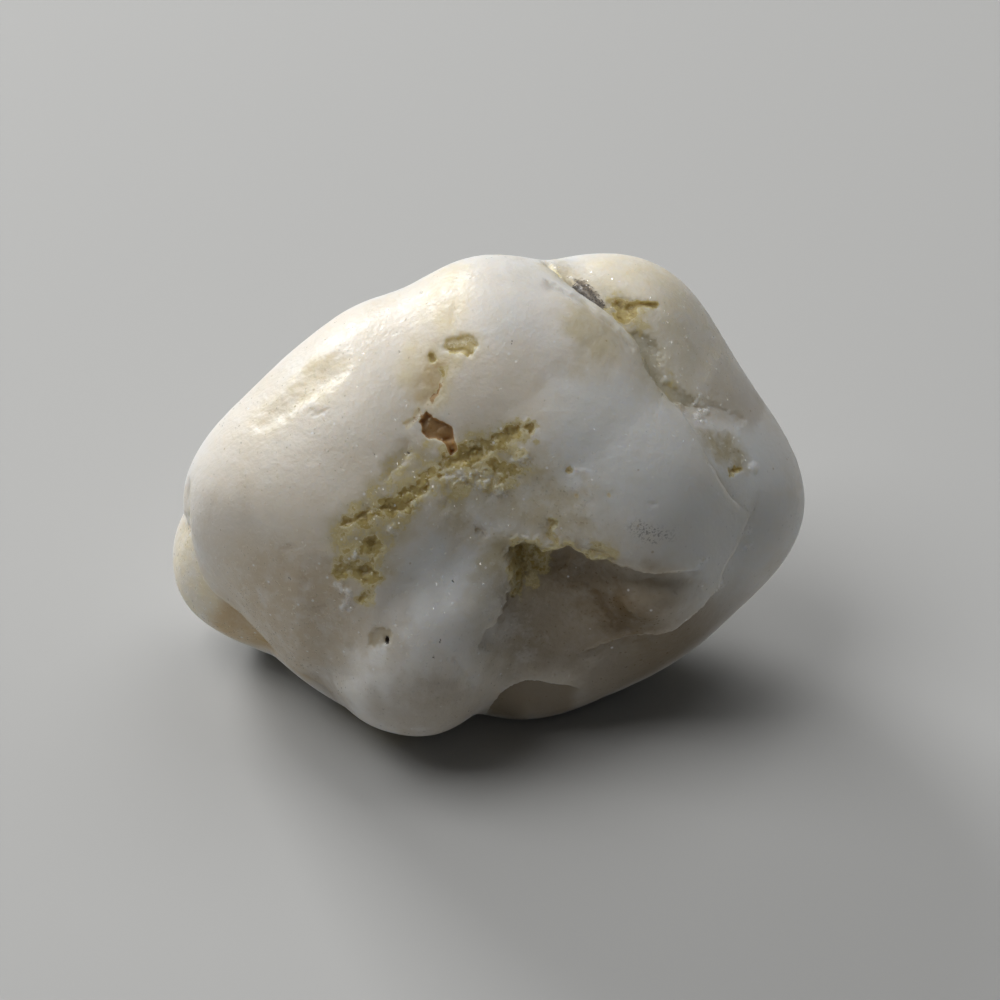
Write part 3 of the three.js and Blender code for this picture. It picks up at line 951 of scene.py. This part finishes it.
# Stray flecks, as light or as dark as a grain of sand, are on a few of the cells. The light ones
# are partly painted sparkle, and more of them lie where the quartz is mottled.
def flecked(colour):
    fleck = cells(milkyQuartz["fleckSize"])
    kind = firstPart(fleck["Color"])
    pale = ramp(add(kind, multiply(markOf("mottle"), 0.1)), 0.985, 0.99)
    dark = ramp(kind, 0.012, 0.008)
    small = ramp(fleck["Distance"], 0.26, 0.12)
    colour = cover(multiply(multiply(pale, small), 0.8), colour, "chalk")
    return cover(multiply(multiply(dark, small), 0.45), colour, "umber")


# Tiny crystal faces, each tilted its own way, glint where the quartz is sugary or mottled.
def addGrain():
    glint = cells(milkyQuartz["glintSize"])
    away = vectors("SUBTRACT", place, glint["Position"])[0]
    tilt = vectors("SUBTRACT", glint["Color"], (0.5, 0.5, 0.5))[0]
    slope = vectors("DOT_PRODUCT", away, tilt)["Value"]
    sugary = larger(markOf("sugar"), multiply(markOf("mottle"), 0.16))
    share = add(multiply(sugary, 0.4), milkyQuartz["glints"])
    shining = ramp(add(firstPart(glint["Color"]), share), 0.99, 1.01)
    worn = between(cloud("wear"), milkyQuartz["roughness"], 0.3, 0.7)
    rough = multiply(worn, between(shining, (1, milkyQuartz["glintRoughness"])))
    grain = add(cloud("grain", 4), multiply(cloud("swell"), 1.6))
    height = add(multiply(multiply(slope, 1.2), shining),
                 multiply(grain, milkyQuartz["bump"] * mm))
    bump = addNode("ShaderNodeBump", Height=height, Strength=1, Distance=1)
    link(rough, shader.inputs["Roughness"])
    link(bump["Normal"], shader.inputs["Normal"])


def finishQuartz():
    link(flecked(specked(stained(quartzColour()))), shader.inputs["Base Color"])
    addGrain()
    shader.inputs["IOR"].default_value = milkyQuartz["refraction"]
    shader.inputs["Subsurface Weight"].default_value = 1
    shader.inputs["Subsurface Radius"].default_value = milkyQuartz["glow"]
    shader.inputs["Subsurface Scale"].default_value = mm


finishQuartz()
pebble.data.materials.clear()
pebble.data.materials.append(quartz)
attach(pebble, "root")
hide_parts("quartz_pebble")
print("pebble finished")


# Lengths here are metres, and powers are watts.
studio = {
    "floor": (0.5, 0.5, 0.49), "floorRoughness": 0.8, "floorWidth": 4,
    "key": {"azimuth": -147, "elevation": 24, "distance": 0.9, "width": 0.3, "power": 5},
    "side": {"azimuth": -100, "elevation": 60, "distance": 0.9, "width": 0.6, "power": 4.4},
    "rim": {"azimuth": 150, "elevation": 60, "distance": 0.9, "width": 0.6, "power": 1.8},
    "sky": 0.03,
}


def addFloor():
    edit = bmesh.new()
    bmesh.ops.create_grid(edit, size=studio["floorWidth"] / 2)
    mesh = bpy.data.meshes.new("floor")
    edit.to_mesh(mesh)
    edit.free()
    floor = bpy.data.objects.new("floor", mesh)
    bpy.context.collection.objects.link(floor)
    paper = bpy.data.materials.new("pale paper")
    paper.use_nodes = True
    surface = paper.node_tree.nodes["Principled BSDF"]
    surface.inputs["Base Color"].default_value = (*studio["floor"], 1)
    surface.inputs["Roughness"].default_value = studio["floorRoughness"]
    mesh.materials.append(paper)


def addLamp(name):
    lamp = studio[name]
    right, up, out = faceAxes(lamp["azimuth"], lamp["elevation"])
    data = bpy.data.lights.new(name, "AREA")
    data.size = lamp["width"]
    data.energy = lamp["power"]
    light = bpy.data.objects.new(name, data)
    place = Matrix.Translation(middle + out * lamp["distance"])
    light.matrix_world = place @ Matrix((right, up, out)).transposed().to_4x4()
    bpy.context.collection.objects.link(light)


def addSky():
    sky = bpy.data.worlds.new("soft sky")
    sky.use_nodes = True
    glow = sky.node_tree.nodes["Background"]
    glow.inputs["Color"].default_value = (1, 1, 1, 1)
    glow.inputs["Strength"].default_value = studio["sky"]
    bpy.context.scene.world = sky
    bpy.context.scene.view_settings.view_transform = "Standard"


addFloor()
for name in ("key", "side", "rim"):
    addLamp(name)
addSky()
print("floor and light placed")
